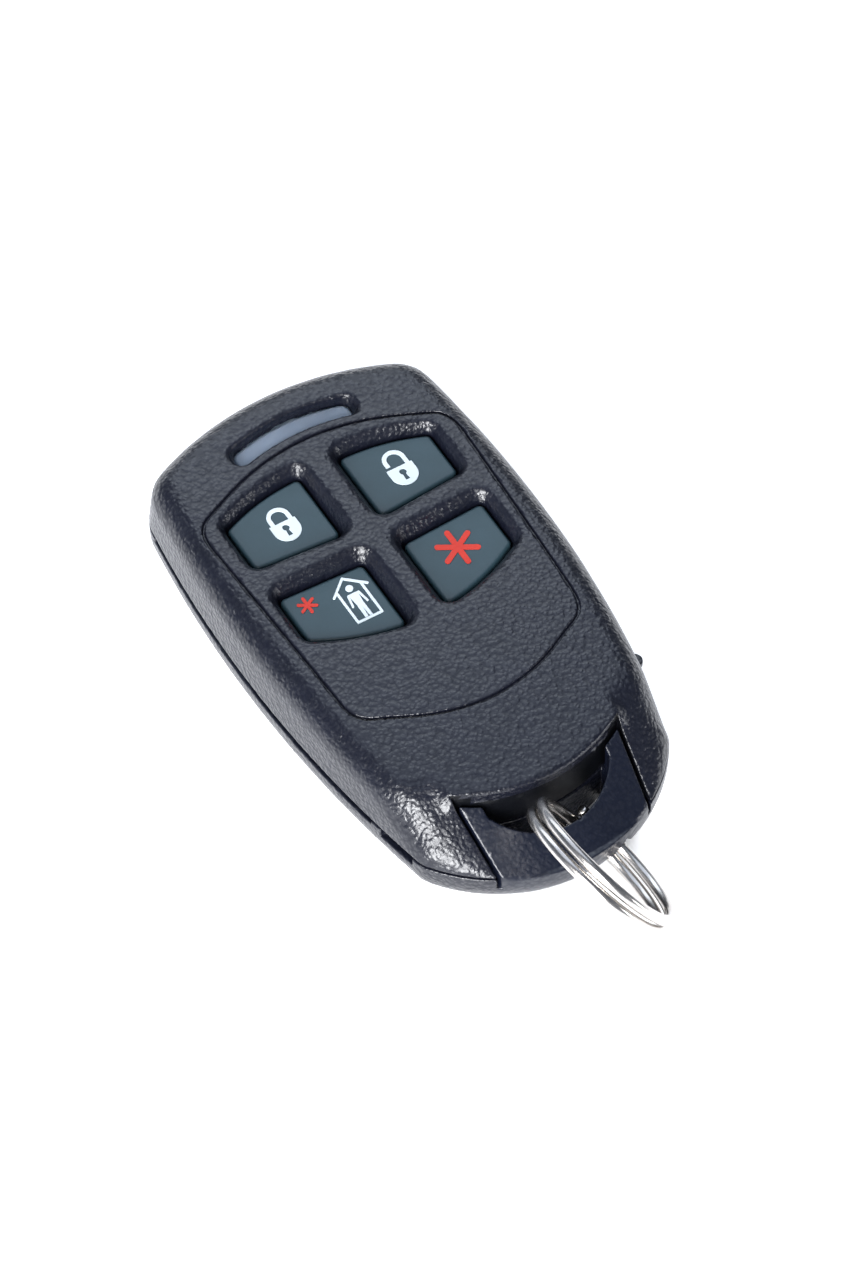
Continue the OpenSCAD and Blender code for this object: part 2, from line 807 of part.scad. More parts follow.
// Room under the right half of the bail bar, so that the leaning ring goes round it
module under_bar_cut() {
    intersection() {
        nose_wedge(bail_bar_t);
        translate([under_bar_x, nose_y - 1, -1])
            cube([eye_half_w - under_bar_x, bail_bar_w + 1 + bail_under, crown_z]);
    }
}

// Hollow worn into the underside of the bail bar, in which the ring lies
module ring_relief() {
    intersection() {
        nose_wedge(bail_least_t);
        translate(ring_centre)
            rotate([0, 90 - ring_lean, ring_yaw])
                difference() {
                    cylinder(h = 2 * relief_half, r = ring_d / 2 + ring_clear, center = true, $fn = 96);
                    cylinder(h = 4 * relief_half, r = ring_d / 2 - wire_d - ring_clear,
                        center = true, $fn = 96);
                }
    }
}

module seam_notch(low_y, high_y, depth) {
    upright(back_edge_z - depth, back_edge_z + 1)
        intersection() {
            difference() {
                polygon(inset_outline(-1));
                polygon(inset_outline(lip_inset - slip));
            }
            translate([0, low_y])
                square([half_w + 1, high_y - low_y]);
        }
}

module pry_nib() {
    translate([side_x(nib_y) + nib_out, nib_y, back_edge_z - nib_h])
        cylinder(h = nib_h, r = nib_r, $fn = 24);
}

// The slits beside the bail run a little way down the end of the back housing
module slit_cut() {
    intersection() {
        upright(back_edge_z - slit_depth, back_edge_z + 1)
            difference() {
                bay_shape();
                bay_shape(bail_gap);
            }
        translate([-half_w, nose_y - 1, 0])
            cube([body_w, slit_len, crown_z]);
    }
}

module led_lens() {
    pipe_low_z = board_top_z + led_size.z + slip;
    color(lens_colour) {
        upright(lens_flange_top_z - sliver, lens_top_z)
            lamp_window(-slip);
        upright(lens_flange_top_z - lens_flange_t, lens_flange_top_z)
            lamp_window(lens_flange);
        translate([0, lamp_mid_y, pipe_low_z])
            cylinder(h = lens_flange_top_z - lens_flange_t + sliver - pipe_low_z, r = light_pipe_r);
    }
}

module keypad_mat() {
    color(rubber_colour)
        upright(board_top_z, mat_top_z)
            difference() {
                translate([0, mat_low_y])
                    offset(r = mat_corner_r)
                        translate([-mat_half_w + mat_corner_r, mat_corner_r])
                            square([
                                2 * (mat_half_w - mat_corner_r),
                                mat_high_y - mat_low_y - 2 * mat_corner_r
                            ]);
                for (left = [false, true], upper = [false, true])
                    on_left(left)
                        key_shape(upper, web_foot - web_t);
            }
}

module key(left, upper) {
    levels = [[key_low_z, 0], [key_top_z - key_chamfer, 0], [key_top_z, -key_chamfer]];
    color(key_colour)
        on_left(left) {
            skin([for (level = levels) levelled(key_points(upper, level[1]), level[0])]);
            translate([key_mid_x, upper ? upper_mid_y : lower_mid_y, pill_top_z])
                cylinder(h = key_low_z + overlap - pill_top_z, r = post_r);
        }
}

// Thin rubber skirt that carries a key and folds when it is pressed
module web(left, upper) {
    slope = web_foot / web_h;
    color(rubber_colour)
        on_left(left)
            difference() {
                skin([
                    levelled(key_points(upper, web_foot), mat_top_z),
                    levelled(key_points(upper, 0), key_low_z)
                ]);
                skin([
                    levelled(key_points(upper, web_foot - web_t + web_over * slope), mat_top_z - web_over),
                    levelled(key_points(upper, -web_t - web_over * slope), key_low_z + web_over)
                ]);
            }
}

module pill(left, upper) {
    color(carbon_colour)
        on_left(left)
            translate([key_mid_x, upper ? upper_mid_y : lower_mid_y, pill_low_z])
                cylinder(h = pill_top_z - pill_low_z, r = pill_r);
}

module stroke(points, w) {
    for (i = [0 : len(points) - 2])
        hull()
            for (p = [points[i], points[i + 1]])
                translate(p)
                    circle(d = w, $fn = 20);
}

module asterisk(r, w) {
    for (a = [90 : 60 : 210])
        rotate(a)
            stroke([[w / 2 - r, 0], [r - w / 2, 0]], w);
}

// Padlock on its base line: a round-bottomed body with a keyhole, and a shackle, lifted when open
module padlock(open) {
    half = 1.62;
    shoulder = 2.75;
    keyhole_y = 1.88;
    keyhole_r = 0.42;
    keyhole_low_y = 0.7;
    keyhole_half = 0.18;
    keyhole_low_half = 0.28;
    shackle_r = 1.12;
    shackle_w = 0.5;
    leg_h = 0.75;
    lift = open ? 0.3 : 0;
    free_leg_h = open ? 0.6 : leg_h;
    difference() {
        intersection() {
            hull() {
                translate([0, half])
                    circle(half);
                translate([-half, half])
                    square([2 * half, shoulder]);
            }
            translate([-half, 0])
                square([2 * half, shoulder]);
        }
        translate([0, keyhole_y])
            circle(keyhole_r);
        polygon([
            [-keyhole_half, keyhole_y], [keyhole_half, keyhole_y],
            [keyhole_low_half, keyhole_low_y], [-keyhole_low_half, keyhole_low_y]
        ]);
    }
    translate([0, shoulder + leg_h + lift]) {
        difference() {
            circle(shackle_r + shackle_w / 2);
            circle(shackle_r - shackle_w / 2);
            translate([-2 * shackle_r, -2 * shackle_r])
                square([4 * shackle_r, 2 * shackle_r]);
        }
        for (leg = [[-1, free_leg_h], [1, leg_h + lift]])
            translate([leg.x * shackle_r - shackle_w / 2, -leg.y - sliver])
                square([shackle_w, leg.y + 2 * sliver]);
    }
}

// A house outline on its base line, with a person standing inside
module house() {
    roof_half = 2.12;
    wall_half = 1.52;
    base = 0.22;
    eaves = 4.42;
    peak = 6.3;
    line_w = 0.29;
    wall_top = 4.8;
    head_y = 4.75;
    head_r = 0.44;
    shoulder = [0.58, 3.98];
    hip = [0.42, 2.4];
    foot = [0.46, 0.42];
    heel = [0.11, 0.42];
    fork_y = 2.2;
    arm = [[0.66, 3.85], [0.93, 2.35]];
    arm_w = 0.25;
    stroke([[-roof_half, eaves], [0, peak], [roof_half, eaves]], line_w);
    stroke([[-wall_half, wall_top], [-wall_half, base], [wall_half, base], [wall_half, wall_top]], line_w);
    translate([0, head_y])
        circle(head_r);
    for (left = [false, true])
        on_left(left) {
            polygon([[-sliver, shoulder.y], shoulder, hip, foot, heel, [-sliver, fork_y]]);
            stroke(arm, arm_w);
        }
}

module printed(colour) {
    color(colour)
        upright(key_top_z, key_top_z + mark_t)
            children();
}

module mark_lock() {
    printed(white_print)
        translate([-key_mid_x, upper_mid_y] + mark_scale * lock_mark_off)
            scale(mark_scale)
                padlock(false);
}

module mark_unlock() {
    printed(white_print)
        translate([key_mid_x, upper_mid_y] + mark_scale * unlock_mark_off)
            scale(mark_scale)
                padlock(true);
}

module mark_home() {
    printed(white_print)
        translate([-key_mid_x, lower_mid_y] + mark_scale * house_off)
            scale(mark_scale)
                house();
}

module mark_home_star() {
    printed(red_print)
        translate([-key_mid_x, lower_mid_y] + mark_scale * small_star_off)
            scale(mark_scale)
                asterisk(small_star_r, small_star_w);
}

module mark_star() {
    printed(red_print)
        translate([key_mid_x, lower_mid_y] + mark_scale * star_off)
            scale(mark_scale)
                asterisk(star_r, star_w);
}

module circuit_board() {
    color(board_colour)
        difference() {
            upright(board_low_z, board_top_z)
                board_shape();
            for (s = seats)
                translate([s.x, s.y, board_low_z - 1])
                    cylinder(h = board_t + 2, r = pin_r + slip);
        }
}

// Two half-round plated contacts below each pill
module contact_pads() {
    color(gold_colour)
        for (left = [false, true], y = [upper_mid_y, lower_mid_y])
            on_left(left)
                translate([key_mid_x, y, board_top_z])
                    difference() {
                        cylinder(h = track_t, r = pad_r);
                        translate([-pad_split / 2, -pad_r - 1, -1])
                            cube([pad_split, 2 * pad_r + 2, track_t + 2]);
                    }
}

module antenna_loop() {
    color(gold_colour)
        upright(board_top_z, track_top_z)
            intersection() {
                difference() {
                    offset(delta = -track_inset)
                        board_shape();
                    offset(delta = -track_inset - track_w)
                        board_shape();
                }
                translate([-half_w, nose_y])
                    square([body_w, antenna_high_y - nose_y]);
            }
}

module encoder_chip() {
    color(chip_colour)
        translate([chip_at.x, chip_at.y, board_top_z]) {
            translate([-chip_size.x / 2, -chip_size.y / 2, chip_lift])
                cube([chip_size.x, chip_size.y, chip_size.z - chip_lift]);
            for (side = [-1, 1], k = [-3 : 3])
                translate([k * chip_leg_pitch, side * (chip_size.y / 2 + chip_leg_out), chip_leg.z / 2])
                    cube(chip_leg, center = true);
        }
}

module saw_resonator() {
    color(steel_colour)
        translate([resonator_at.x, resonator_at.y, board_top_z]) {
            upright(0, resonator_foot)
                square([resonator_size.x, resonator_size.y], center = true);
            upright(0, resonator_size.z)
                offset(delta = -resonator_rim)
                    square([resonator_size.x, resonator_size.y], center = true);
        }
}

module chip_parts() {
    color(chip_colour)
        for (k = [0 : passive_columns - 1], row = [0, 1])
            translate([
                passive_at.x + passive_step.x * k,
                passive_at.y + passive_step.y * row,
                board_top_z + passive_size.z / 2
            ])
                cube(passive_size, center = true);
}

module status_led() {
    color(white_print)
        translate([-led_size.x / 2, lamp_mid_y - led_size.y / 2, board_top_z])
            cube(led_size);
}

module coin_cell() {
    color(steel_colour)
        translate([0, cell_y, cell_low_z]) {
            cylinder(h = cell_t - cell_step, d = cell_d, $fn = 96);
            cylinder(h = cell_t, d = cell_d - 2 * cell_rim, $fn = 96);
        }
}

// Strap below the cell with a foot soldered to the board at each end
module battery_clip() {
    leg_x = cell_d / 2 + clip_clear;
    color(steel_colour)
        translate([0, cell_y - clip_w / 2, 0]) {
            translate([-leg_x - clip_t, 0, cell_low_z - clip_t])
                cube([2 * (leg_x + clip_t), clip_w, clip_t]);
            for (left = [false, true])
                on_left(left) {
                    translate([leg_x, 0, cell_low_z - clip_t])
                        cube([clip_t, clip_w, board_low_z - cell_low_z + clip_t]);
                    translate([leg_x, 0, board_low_z - clip_t])
                        cube([clip_foot, clip_w, clip_t]);
                }
        }
}

module cell_contact() {
    color(gold_colour)
        translate([0, cell_y, cell_top_z])
            cylinder(h = contact_t, d = cell_d / 2);
}

// Two turns of one wire, side by side, with a jog where the ends lie
module key_ring() {
    color(steel_colour)
        skin([for (turn = ring_stations) ring_section(turn)]);
}

front_housing();
back_housing();
led_lens();
keypad_mat();
key(true, true);  // key_lock
key(false, true);  // key_unlock
key(true, false);  // key_home
key(false, false);  // key_star
web(true, true);  // web_lock
web(false, true);  // web_unlock
web(true, false);  // web_home
web(false, false);  // web_star
pill(true, true);  // pill_lock
pill(false, true);  // pill_unlock
pill(true, false);  // pill_home
pill(false, false);  // pill_star
mark_lock();
mark_unlock();
mark_home();
mark_home_star();
mark_star();
circuit_board();
contact_pads();
antenna_loop();
encoder_chip();
saw_resonator();
chip_parts();
status_led();
coin_cell();
battery_clip();
cell_contact();
key_ring();
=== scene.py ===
import math

import bpy
import numpy as np
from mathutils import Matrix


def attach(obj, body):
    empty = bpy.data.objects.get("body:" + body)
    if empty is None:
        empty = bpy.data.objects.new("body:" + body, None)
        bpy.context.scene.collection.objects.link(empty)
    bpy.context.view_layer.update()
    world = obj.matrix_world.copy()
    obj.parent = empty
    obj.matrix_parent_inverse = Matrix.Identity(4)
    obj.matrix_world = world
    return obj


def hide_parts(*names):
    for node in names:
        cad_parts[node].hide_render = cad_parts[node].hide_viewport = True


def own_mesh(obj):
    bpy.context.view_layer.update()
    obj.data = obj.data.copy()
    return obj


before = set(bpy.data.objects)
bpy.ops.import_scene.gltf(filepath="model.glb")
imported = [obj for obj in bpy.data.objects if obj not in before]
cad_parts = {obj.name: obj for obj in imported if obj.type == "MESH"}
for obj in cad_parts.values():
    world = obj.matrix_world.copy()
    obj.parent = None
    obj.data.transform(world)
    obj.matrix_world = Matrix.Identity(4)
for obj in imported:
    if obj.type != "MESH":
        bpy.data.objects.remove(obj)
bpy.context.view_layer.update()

import openvdb
from mathutils import Matrix, Vector

MM = 0.001

# Case, in millimetres, as in the part's source
HALF_W, HALF_LEN = 19.64, 34.99
NOSE_Y = -HALF_LEN
WIDE_Y, SIDE_R = 7.5, 156.0
LAMP_END_SAG, LAMP_CORNER_R = 4.54, 5.2
NOSE_SAG, NOSE_CORNER_R = 8.56, 3.5
FRONT_EDGE_Z, BACK_EDGE_Z = 5.7, 5.3
CROWN_Z, CROWN_ACROSS_R, CROWN_NOSE_R, CROWN_LAMP_R = 13.2, 300.0, 218.0, 900.0
WALL, FLOOR_T, DECK_LOW_Z, BACK_ROUND, EDGE_ROUND, EDGE_SHARE = 1.7, 1.6, 9.9, 4.0, 2.7, 0.8
WALL_LEAN, LEAST_RISE, LEAST_ROUND = 0.1, 0.4, 0.3
MARGIN, NIB_MARGIN, SEAM_EDGE_R = 0.4, 1.2, 0.15
NOSE_BREAK = (-24.1, 11.6)
NOSE_FALL, NOSE_BLEND, NOSE_ACROSS_R = 0.62, 1.0, 60.0
BROW_C, BROW_R = (0.0, -6.95), 20.0
BROW_BLEND_X, BROW_BLEND_Y, BROW_BLEND_W = 1.6, 1.4, 1.8
BAY_EDGE_R, BROW_EDGE_MORE, BROW_EDGE_X, BROW_EDGE_W = 0.25, 0.25, 10.2, 1.2
BAY_HALF_W, BAY_TAPER, BAIL_GAP = 10.6, 0.1, 0.4
BAY_TOP_Y = BROW_C[1] - math.sqrt(BROW_R**2 - BAY_HALF_W**2)
EYE_C, EYE_R, EYE_HALF_W = (0.0, -21.75), 9.25, 7.75
BAR_T, BAR_LEAST_T, UNDER_BAR_X, UNDER_BAR_Y = 2.6, 1.0, -1.2, -28.0
BAIL_TOP_EDGE_R, BAIL_SIDE_EDGE_R, EYE_EDGE_R, BAIL_HIGH_Y = 0.35, 0.2, 0.25, -22.0
BAIL_PAINT_Y, BAY_WALL_NEAR, BAY_WALL_Y = -22.5, 0.1, 2.0
SLIT_D, SLIT_HIGH_Y, SLIT_EDGE_R = 1.3, -30.0, 0.06
LIP_IN, LIP_OUT, LIP_LOW_Z, LIP_TOP_Z, LIP_LOW_Y = 3.05, 2.05, 1.0, 7.2, -22.4
REVEAL_IN, REVEAL_D, REVEAL_LOW_Y, PRY_D, PRY_HIGH_Y, REVEAL_EDGE_R = 1.93, 0.5, -18.4, 1.0, -20.0, 0.12
NIB_Y, NIB_OUT, NIB_R, NIB_HALF_T, NIB_EDGE_R = -14.9, 0.6, 0.94, 0.4, 0.12

# Keys and lamp
KEY_IN_X, KEY_OUT_X = 2.6, 13.1
UPPER_KEY = [(KEY_IN_X, 12.7), (KEY_OUT_X, 13.5), (KEY_OUT_X, 19.9), (KEY_IN_X, 22.2)]
LOWER_KEY = [(KEY_IN_X, -1.7), (KEY_OUT_X, 2.0), (KEY_OUT_X, 8.6), (KEY_IN_X, 8.1)]
KEY_SWELL, KEY_CORNER_R = 0.45, 0.7
KEY_LOW_Z, KEY_TOP_Z, POST_LOW_Z, POST_R = 8.4, 11.4, 7.5, 2.5
POCKET_Z = [9, 11.4, 11.65, 12.65, 13.1, 14]
POCKET_GROW = [0.3, 0.3, 0.42, 1.05, 1.34, 1.9]
POCKET_SLOPE, POCKET_EDGE_R = 0.86, 0.4
KEYS = {
    "lock": (UPPER_KEY, (0, 0, KEY_SWELL, 0), True),
    "unlock": (UPPER_KEY, (0, 0, KEY_SWELL, 0), False),
    "home": (LOWER_KEY, (KEY_SWELL, 0, 0, 0), True),
    "star": (LOWER_KEY, (KEY_SWELL, 0, 0, 0), False),
}
PANEL = [(-14.7, -11.6), (14.7, -11.6), (16.4, 22.0), (-16.4, 22.0)]
PANEL_SWELL, PANEL_CORNER_R, PANEL_EASE = (3.8, 0, 3.5, 0), 2.9, 1.1
GROOVE_HALF_W, GROOVE_D, GROOVE_EDGE_R = 0.16, 0.42, 0.1
LAMP = [(-8.2, 25.9), (8.2, 25.9), (8.2, 28.9), (-8.2, 28.9)]
LAMP_SWELL, WINDOW_CORNER_R, WINDOW_EDGE_R = (-0.9, 0, 0.9, 0), 1.3, 0.4
LENS_BAR = [(-7.45, 25.9), (7.45, 25.9), (7.45, 28.9), (-7.45, 28.9)]
LENS_CORNER_R, LENS_GAP, LENS_FLANGE = 1.2, 0.12, 0.5
LENS_TOP_Z, LENS_FLANGE_Z, LENS_LOW_Z, PIPE_LOW_Z = 11.25, 10.8, 9.82, 7.22
DECK_AT_LAMP_Z = 12.7
PIPE_C, PIPE_R = (0.0, 28.3), 1.4

# Split ring
RING_C = (-0.3, -38.3, 8.765)
RING_R, WIRE_R, RING_PITCH, RING_END = 9.25, 0.64, 1.5, 335
RING_LEAN, RING_YAW = math.radians(34), math.radians(4)
RING_TURNS, JOG, CAP_LEN = 2, 0.85, 0.5
CHANNEL_HALF_W, CHANNEL_IN_R, CHANNEL_OUT_R = 2.53, 8.29, 10.35

# Meshes
VOXEL = 0.11
MOST_FACES, ADAPTIVITY = 190000, 0.15
SLOPE_STEP = 0.6


# Plane shapes
def arc(c, r, start, end, n):
    a = np.radians(np.linspace(start, end, n, endpoint=False))
    return np.stack([c[0] + r * np.cos(a), c[1] + r * np.sin(a)], 1)


def nested_centre(c1, r1, c2, r2, r):
    c1, c2 = np.array(c1), np.array(c2)
    d = np.linalg.norm(c2 - c1)
    u = (c2 - c1) / d
    along = ((r1 - r) ** 2 - (r2 - r) ** 2 + d**2) / (2 * d)
    return c1 + along * u + math.sqrt((r1 - r) ** 2 - along**2) * np.array([-u[1], u[0]])


def bearing(a, b):
    return math.degrees(math.atan2(b[1] - a[1], b[0] - a[0]))


def side_x(y):
    return HALF_W - SIDE_R + math.sqrt(SIDE_R**2 - (y - WIDE_Y) ** 2)


def arc_radius(half_chord, sag):
    return (half_chord**2 + sag**2) / (2 * sag)


SIDE_C = (HALF_W - SIDE_R, WIDE_Y)
LAMP_END_R = arc_radius(side_x(HALF_LEN - LAMP_END_SAG), LAMP_END_SAG)
NOSE_R = arc_radius(side_x(NOSE_Y + NOSE_SAG), NOSE_SAG)
LAMP_C, NOSE_C = (0.0, HALF_LEN - LAMP_END_R), (0.0, NOSE_Y + NOSE_R)
LAMP_CORNER_C = nested_centre(SIDE_C, SIDE_R, LAMP_C, LAMP_END_R, LAMP_CORNER_R)
NOSE_CORNER_C = nested_centre(NOSE_C, NOSE_R, SIDE_C, SIDE_R, NOSE_CORNER_R)


def case_outline():
    nose_turn, lamp_turn = bearing(NOSE_C, NOSE_CORNER_C), bearing(LAMP_C, LAMP_CORNER_C)
    right = np.concatenate([
        arc(NOSE_C, NOSE_R, -90, nose_turn, 24),
        arc(NOSE_CORNER_C, NOSE_CORNER_R, nose_turn, bearing(SIDE_C, NOSE_CORNER_C), 10),
        arc(SIDE_C, SIDE_R, bearing(SIDE_C, NOSE_CORNER_C), bearing(SIDE_C, LAMP_CORNER_C), 24),
        arc(LAMP_CORNER_C, LAMP_CORNER_R, bearing(SIDE_C, LAMP_CORNER_C), lamp_turn, 14),
        arc(LAMP_C, LAMP_END_R, lamp_turn, 90, 24),
        [[0.0, HALF_LEN]],
    ])
    left = right[-2:0:-1] * [-1, 1]
    return np.concatenate([right, left])


def rounded_outline(corners, swells, r, grow=0.0, step=0.4, corner_steps=8):
    """A closed four-sided shape with rounded corners and swelling edges, grown outwards."""
    c = np.array(corners, float)
    edges = np.roll(c, -1, 0) - c
    out = np.stack([edges[:, 1], -edges[:, 0]], 1) / np.linalg.norm(edges, axis=1)[:, None]
    arcs = []
    for k in range(4):
        before, after = out[k - 1], out[k]
        middle = c[k] - r * (before + after) / (1 + before @ after)
        start = math.atan2(before[1], before[0])
        turn = (math.atan2(after[1], after[0]) - start) % (2 * math.pi)
        a = start + turn * np.linspace(0, 1, corner_steps + 1)
        arcs.append(middle + (r + grow) * np.stack([np.cos(a), np.sin(a)], 1))
    points = []
    for k in range(4):
        p, q = arcs[k][-1], arcs[(k + 1) % 4][0]
        n = max(2, int(np.linalg.norm(q - p) / step))
        t = np.linspace(0, 1, n + 1)[1:-1, None]
        points += [arcs[k], p + (q - p) * t + 4 * swells[k] * t * (1 - t) * out[k]]
    return np.concatenate(points)


def eased(points, spread, step=0.4):
    """A closed outline at even steps, with its bends spread over a length."""
    closed = np.concatenate([points, points[:1]])
    along = np.concatenate([[0], np.cumsum(np.linalg.norm(np.diff(closed, axis=0), axis=1))])
    at = np.linspace(0, along[-1], int(along[-1] / step), endpoint=False)
    even = np.stack([np.interp(at, along, closed[:, k]) for k in range(2)], 1)
    reach = int(3 * spread / step)
    weights = np.exp(-0.5 * (np.arange(-reach, reach + 1) * step / spread) ** 2)
    weights /= weights.sum()
    return sum(w * np.roll(even, k - reach, axis=0) for k, w in enumerate(weights))


def mirrored(points):
    return points[::-1] * [-1, 1]


def key_outline(name, grow=0.0, step=0.4):
    corners, swells, left = KEYS[name]
    points = rounded_outline(corners, swells, KEY_CORNER_R, grow, step)
    return mirrored(points) if left else points


def polygon_distance(points, x, y):
    """Signed distance to a closed outline, below zero inside it."""
    best = np.full(np.broadcast(x, y).shape, 1e9, np.float32)
    inside = np.zeros(best.shape, bool)
    for (ax, ay), (bx, by) in zip(points, np.roll(points, -1, 0)):
        ex, ey = bx - ax, by - ay
        wx, wy = x - ax, y - ay
        t = np.clip((wx * ex + wy * ey) / (ex * ex + ey * ey), 0, 1)
        best = np.minimum(best, (wx - ex * t) ** 2 + (wy - ey * t) ** 2)
        if ay != by:
            inside ^= ((ay > y) != (by > y)) & (wx < ex * wy / ey)
    return np.where(inside, -1, 1) * np.sqrt(best)


# Solids as distance fields
def cut(a, b, r):
    """Where both a and b are inside, with the edge between them rounded to r."""
    corner = np.sqrt(np.maximum(a + r, 0) ** 2 + np.maximum(b + r, 0) ** 2)
    return np.minimum(np.maximum(a, b), -r) + corner


def ramp(t):
    t = np.clip(t, 0, 1)
    return t * t * (3 - 2 * t)


def crown(x, y):
    along_r = np.where(y < 0, CROWN_NOSE_R, CROWN_LAMP_R)
    return CROWN_Z - x**2 / (2 * CROWN_ACROSS_R) - y**2 / (2 * along_r)


def nose_height(x, y):
    return NOSE_BREAK[1] + NOSE_FALL * (y - NOSE_BREAK[0]) - x**2 / (2 * NOSE_ACROSS_R)


def front_face(x, y):
    a, b = crown(x, y), nose_height(x, y)
    h = np.maximum(NOSE_BLEND - np.abs(a - b), 0) / NOSE_BLEND
    face = np.minimum(a, b) - h * h * NOSE_BLEND / 4
    across = ramp((BAY_HALF_W + BROW_BLEND_X - np.abs(x)) / BROW_BLEND_W)
    beside_brow = across * ramp((y - BAY_TOP_Y + BROW_BLEND_Y) / BROW_BLEND_W)
    return np.maximum(face + (a - face) * beside_brow, FRONT_EDGE_Z + LEAST_RISE)


class Field:
    """A block of voxels with plane coordinates, in millimetres."""

    def __init__(self, low, high):
        low, high = np.array(low), np.array(high)
        self.low = low
        counts = np.ceil((high - low) / VOXEL).astype(int) + 1
        axes = [(low[k] + VOXEL * np.arange(counts[k])).astype(np.float32) for k in range(3)]
        self.x, self.y = axes[0][:, None, None], axes[1][None, :, None]
        self.z = axes[2][None, None, :]

    def window(self, points, margin):
        """Slices of the block that hold an outline, with its plane coordinates."""
        low, high = points.min(0) - margin, points.max(0) + margin
        i = np.searchsorted(self.x.ravel(), [low[0], high[0]])
        j = np.searchsorted(self.y.ravel(), [low[1], high[1]])
        area = (slice(i[0], i[1]), slice(j[0], j[1]))
        return area, self.x[area[0]], self.y[:, area[1]]

    def rows(self, low, high):
        j = np.searchsorted(self.y.ravel(), [low, high])
        return slice(j[0], j[1])


def bay_distance(x, y):
    half = BAY_HALF_W - BAY_TAPER * (BAY_TOP_Y - y)
    below_brow = np.maximum(BROW_R - np.hypot(x - BROW_C[0], y - BROW_C[1]), y - BROW_C[1])
    return np.maximum(np.abs(x) - half, below_brow)


def front_field():
    low = (-HALF_W - MARGIN, NOSE_Y - MARGIN, FRONT_EDGE_Z - MARGIN)
    g = Field(low, (HALF_W + MARGIN, HALF_LEN + MARGIN, CROWN_Z + MARGIN))
    x, y, z = g.x, g.y, g.z
    edge = polygon_distance(case_outline(), x, y)
    face = front_face(x, y)
    across, along = np.gradient(face[:, :, 0], VOXEL)
    flat = 1 / np.sqrt(1 + across**2 + along**2)[:, :, None]
    wall = (edge + WALL_LEAN * (z - FRONT_EDGE_Z)) / math.hypot(1, WALL_LEAN)
    rounding = np.clip(EDGE_SHARE * (face - FRONT_EDGE_Z), LEAST_ROUND, EDGE_ROUND)
    body = cut(wall, (z - face) * flat, rounding)
    brow = np.maximum(z - crown(x, y), np.abs(x) - BAY_HALF_W)
    brow = np.maximum(brow, np.hypot(x - BROW_C[0], y - BROW_C[1]) - BROW_R)
    body = np.minimum(body, brow)
    bay = bay_distance(x, y)
    panel_edge = eased(rounded_outline(PANEL, PANEL_SWELL, PANEL_CORNER_R), PANEL_EASE)
    panel = polygon_distance(panel_edge, x, y)
    deck = np.maximum(panel, DECK_LOW_Z - z)
    hollow = np.maximum(np.maximum(body + WALL, -deck), WALL - bay)
    soft = BAY_EDGE_R + BROW_EDGE_MORE * np.clip((BROW_EDGE_X - np.abs(x)) / BROW_EDGE_W, 0, 1)
    f = cut(body, -bay, soft)
    for name in KEYS:
        points = key_outline(name)
        area, wx, wy = g.window(points, 4)
        grow = np.interp(z.ravel(), POCKET_Z, POCKET_GROW)
        pocket = (polygon_distance(points, wx, wy) - grow[None, None, :]) * POCKET_SLOPE
        f[area] = cut(f[area], -pocket, POCKET_EDGE_R)
    points = rounded_outline(LAMP, LAMP_SWELL, WINDOW_CORNER_R)
    area, wx, wy = g.window(points, 2)
    high = polygon_distance(points, wx, wy)
    low = polygon_distance(rounded_outline(LENS_BAR, LAMP_SWELL, LENS_CORNER_R), wx, wy)
    slot = low + (high - low) * np.clip((z - LENS_TOP_Z) / (DECK_AT_LAMP_Z - LENS_TOP_Z), 0, 1)
    f[area] = cut(f[area], -slot, WINDOW_EDGE_R)
    groove = np.maximum(np.abs(panel) - GROOVE_HALF_W, face - GROOVE_D - z)
    f = cut(f, -groove, GROOVE_EDGE_R)
    f = np.maximum(f, -hollow)
    return g, cut(f, FRONT_EDGE_Z - z, SEAM_EDGE_R)


def beyond(y, low, high):
    """Distance outside a stretch, below zero within it."""
    return np.abs(y - (low + high) / 2) - (high - low) / 2


